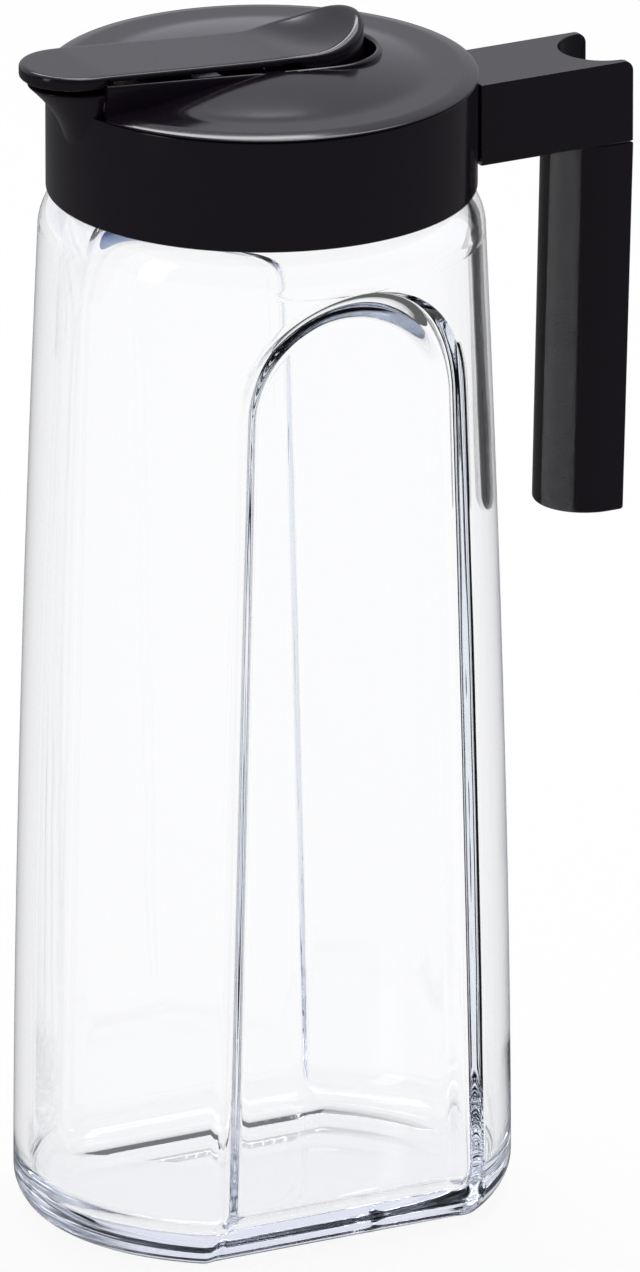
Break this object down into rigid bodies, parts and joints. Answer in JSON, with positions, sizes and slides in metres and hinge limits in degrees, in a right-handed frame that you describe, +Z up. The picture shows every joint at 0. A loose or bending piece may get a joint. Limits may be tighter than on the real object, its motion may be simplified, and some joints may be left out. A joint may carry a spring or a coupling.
{
  "type": "water pitcher",
  "caption": "Clear glass water pitcher with arched side panels, a black screw collar with spout, a domed lid with rocking flap, and a block handle",
  "frame": {"origin": "middle of the jar's flat base, on the surface that the pitcher stands on", "axes": "+Z is up along the jar's axis, +X points to the handle, -X is the spout's side, and the two arched panels face +Y and -Y"},
  "size_m": [0.1525, 0.104, 0.2888],
  "materials": {
    "glass": "clear, pressed and fire polished",
    "black_plastic": "satin gloss, moulded",
    "silicone": "smooth, matt",
    "steel": "plain stainless"
  },
  "bodies": {
    "jar": {"glass_jar": "glass"},
    "collar": {"pour_collar": "black_plastic", "neck_gasket": "silicone", "handle_arm": "black_plastic", "handle_grip": "black_plastic", "arm_screw_inner": "steel", "arm_screw_outer": "steel"},
    "lid": {"lid_disc": "black_plastic", "lid_gasket": "silicone", "flap_hinge_pin": "steel"},
    "flap": {"spout_flap": "black_plastic", "flap_seal": "silicone"}
  },
  "joints": [
    {"name": "collar_lift", "type": "slide", "parent": "jar", "child": "collar", "axis": [0, 0, 1], "range_m": [0, 0.03]},
    {"name": "lid_lift", "type": "slide", "parent": "collar", "child": "lid", "axis": [0, 0, 1], "range_m": [0, 0.03]},
    {"name": "flap_hinge", "type": "hinge", "parent": "lid", "child": "flap", "pos_m": [0, 0, 0.2782], "axis": [0, 1, 0], "range_deg": [0, 20]}
  ]
}
